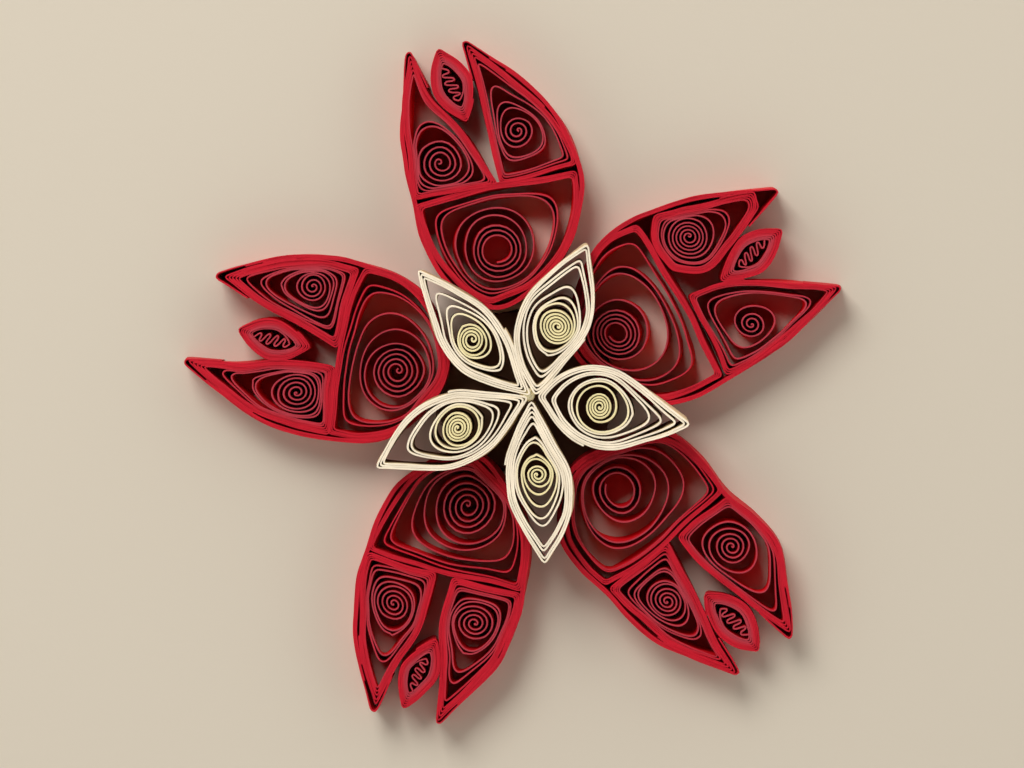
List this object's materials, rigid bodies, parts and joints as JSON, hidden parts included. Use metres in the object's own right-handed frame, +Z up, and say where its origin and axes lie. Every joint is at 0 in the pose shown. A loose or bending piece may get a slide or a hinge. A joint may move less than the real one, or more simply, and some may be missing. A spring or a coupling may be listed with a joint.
{
  "type": "quilled paper flower",
  "caption": "Quilled paper flower lying flat: red petals of rolled paper strips standing on edge, with a smaller cream flower of pinched coils glued on top.",
  "frame": {"origin": "middle of the flower's bounding box in plan, on the surface that its strips' lower edges stand on", "axes": "+Z up, the way the cream flower faces; +Y towards the petal that points up in the picture; +X to the picture's right"},
  "size_m": [0.0534, 0.0554, 0.0063],
  "materials": {
    "red_paper": "matt",
    "cream_paper": "matt"
  },
  "bodies": {
    "root": {"cream_lower_left_petal": "cream_paper", "cream_lower_petal": "cream_paper", "cream_lower_right_petal": "cream_paper", "cream_upper_left_petal": "cream_paper", "cream_upper_right_petal": "cream_paper", "left_petal_base_coil": "red_paper", "left_petal_bud": "red_paper", "left_petal_left_lobe": "red_paper", "left_petal_right_lobe": "red_paper", "left_petal_wrap": "red_paper", "lower_left_petal_base_coil": "red_paper", "lower_left_petal_bud": "red_paper", "lower_left_petal_left_lobe": "red_paper", "lower_left_petal_right_lobe": "red_paper", "lower_left_petal_wrap": "red_paper", "lower_right_petal_base_coil": "red_paper", "lower_right_petal_bud": "red_paper", "lower_right_petal_left_lobe": "red_paper", "lower_right_petal_right_lobe": "red_paper", "lower_right_petal_wrap": "red_paper", "right_petal_base_coil": "red_paper", "right_petal_bud": "red_paper", "right_petal_left_lobe": "red_paper", "right_petal_right_lobe": "red_paper", "right_petal_wrap": "red_paper", "top_petal_base_coil": "red_paper", "top_petal_bud": "red_paper", "top_petal_left_lobe": "red_paper", "top_petal_right_lobe": "red_paper", "top_petal_wrap": "red_paper"}
  },
  "joints": []
}
